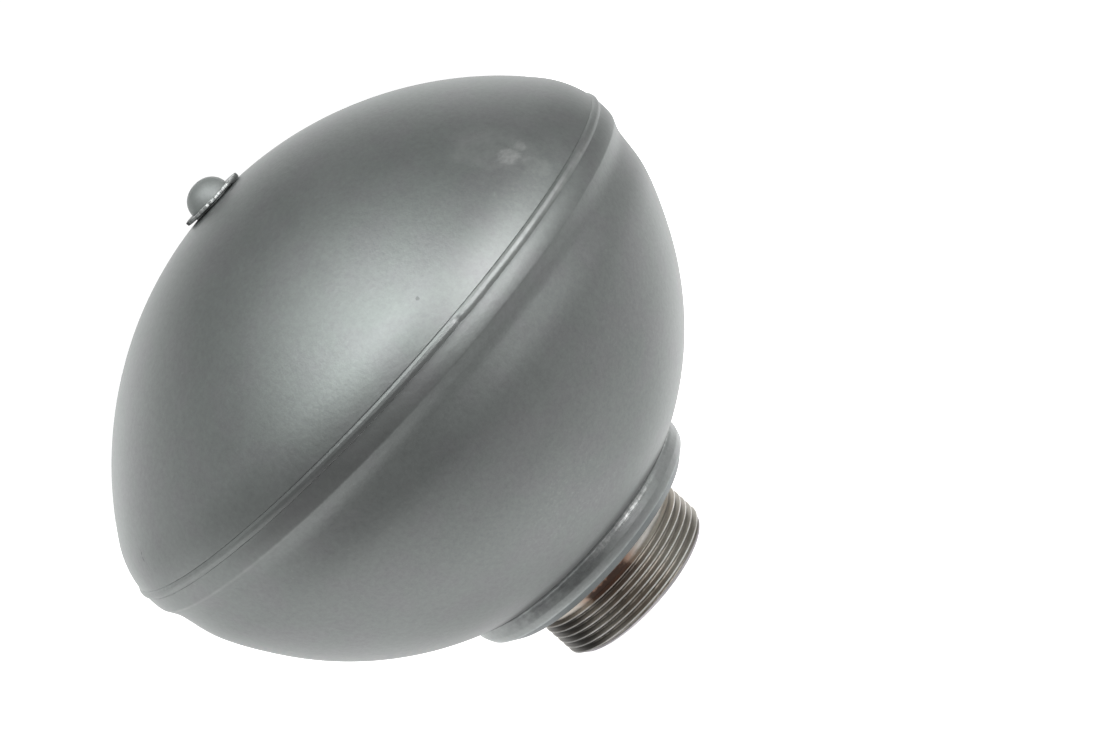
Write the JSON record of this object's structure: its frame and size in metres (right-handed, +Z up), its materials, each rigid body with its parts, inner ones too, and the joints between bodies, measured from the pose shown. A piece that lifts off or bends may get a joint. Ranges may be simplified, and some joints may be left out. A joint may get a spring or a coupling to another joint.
{
  "type": "suspension sphere",
  "caption": "Gas-over-oil suspension sphere: two welded steel shells with a diaphragm, a filler plug at the pole and a damper valve in a threaded neck.",
  "frame": {"origin": "centre of the neck's flat end face, on the sphere's axis", "axes": "+Z up the axis from the threaded neck to the filler plug; X and Y square to it, with no special direction"},
  "size_m": [0.1234, 0.1234, 0.1125],
  "materials": {
    "grey_paint": "satin dark grey-green stoving paint, a little orange peel, small chips",
    "turned_steel": "bare turned steel with a fine lay, lightly stained",
    "zinc_steel": "bright zinc-plated steel",
    "spring_steel": "polished spring steel strip",
    "sintered_steel": "matt grey sintered steel",
    "membrane_rubber": "matt black moulded elastomer",
    "button_plastic": "dark grey moulded polyamide",
    "seal_rubber": "black nitrile, slightly glossy"
  },
  "bodies": {
    "casing": {"gas_shell": "grey_paint", "hydraulic_shell": "grey_paint", "seam_weld": "grey_paint", "neck_fitting": "turned_steel", "neck_weld": "grey_paint", "filler_plug": "grey_paint", "plug_flash": "grey_paint", "clamp_ring": "zinc_steel", "diaphragm": "membrane_rubber", "damper_body": "sintered_steel", "compression_disc_1": "spring_steel", "compression_disc_2": "spring_steel", "compression_disc_3": "spring_steel", "rebound_disc_1": "spring_steel", "rebound_disc_2": "spring_steel", "rebound_disc_3": "spring_steel", "upper_spacer": "zinc_steel", "lower_spacer": "zinc_steel", "upper_stop": "zinc_steel", "lower_stop": "zinc_steel", "damper_bolt": "zinc_steel", "damper_nut": "zinc_steel", "retaining_ring": "spring_steel", "damper_seal": "seal_rubber"},
    "diaphragm_centre": {"diaphragm_button": "button_plastic"}
  },
  "joints": [
    {"name": "diaphragm_travel", "type": "slide", "parent": "casing", "child": "diaphragm_centre", "axis": [0, 0, 1], "range_m": [0, 0.038], "stiffness_N_per_m": 200, "springref_m": -0.01, "deforming": ["diaphragm"]}
  ]
}
